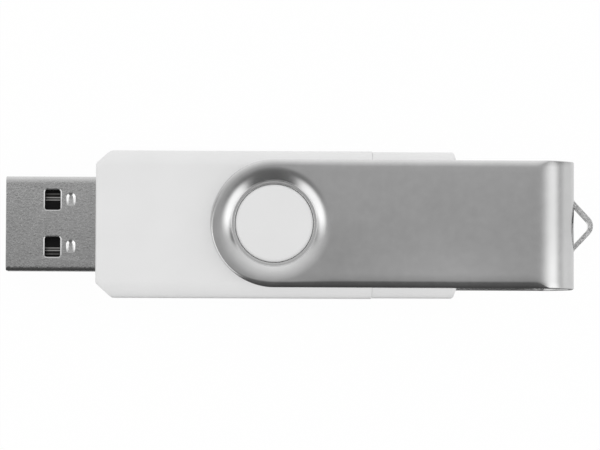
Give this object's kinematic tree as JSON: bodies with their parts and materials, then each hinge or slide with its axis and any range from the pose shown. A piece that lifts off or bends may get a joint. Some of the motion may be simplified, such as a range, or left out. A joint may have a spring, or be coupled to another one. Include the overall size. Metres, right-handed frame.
{
  "type": "usb flash drive",
  "caption": "Pocket flash drive with a USB-A plug, a capped micro-USB plug at the rear and a swivelling sheet-metal cover with a lanyard eye.",
  "frame": {"origin": "centre of the USB-A plug's open end", "axes": "+X along the drive from the USB-A plug towards the lanyard eye, +Y across its width, +Z through its thickness towards the face with the plug's contacts side"},
  "size_m": [0.0749, 0.0186, 0.011],
  "materials": {
    "white_plastic": "semi-matt moulded ABS",
    "satin_steel": "satin stamped sheet",
    "plug_steel": "fine-grained nickel-plated sheet",
    "black_plastic": "moulded insulator",
    "gold_contact": "gold-plated",
    "spring_steel": "bright spring strip",
    "board_green": "solder-mask lacquer on glass laminate",
    "chip_black": "moulded epoxy",
    "tinned_lead": "tin-plated",
    "crystal_can": "satin metal lid",
    "capacitor_tan": "ceramic",
    "solder": "solder fillet"
  },
  "bodies": {
    "body": {"upper_shell": "white_plastic", "lower_shell": "white_plastic", "circuit_board": "board_green", "usb_a_shell": "plug_steel", "usb_a_insulator": "black_plastic", "usb_a_power_contacts": "gold_contact", "usb_a_data_contacts": "gold_contact", "micro_usb_shell": "plug_steel", "micro_usb_insulator": "black_plastic", "micro_usb_contacts": "gold_contact", "micro_usb_latches": "spring_steel", "flash_memory_chip": "chip_black", "flash_memory_leads": "tinned_lead", "controller_chip": "chip_black", "controller_leads": "tinned_lead", "crystal_oscillator": "crystal_can", "ceramic_capacitors": "capacitor_tan", "chip_resistors": "chip_black", "voltage_regulator": "chip_black", "regulator_leads": "tinned_lead", "solder_joints": "solder"},
    "cover": {"swivel_cover": "satin_steel"},
    "cap": {"rear_cap": "white_plastic"}
  },
  "joints": [
    {"name": "cover_swivel", "type": "hinge", "parent": "body", "child": "cover", "pos_m": [0.0342, 0, 0], "axis": [0, 0, 1], "continuous": true},
    {"name": "cap_slide", "type": "slide", "parent": "body", "child": "cap", "axis": [1, 0, 0], "range_m": [0, 0.0105]}
  ]
}
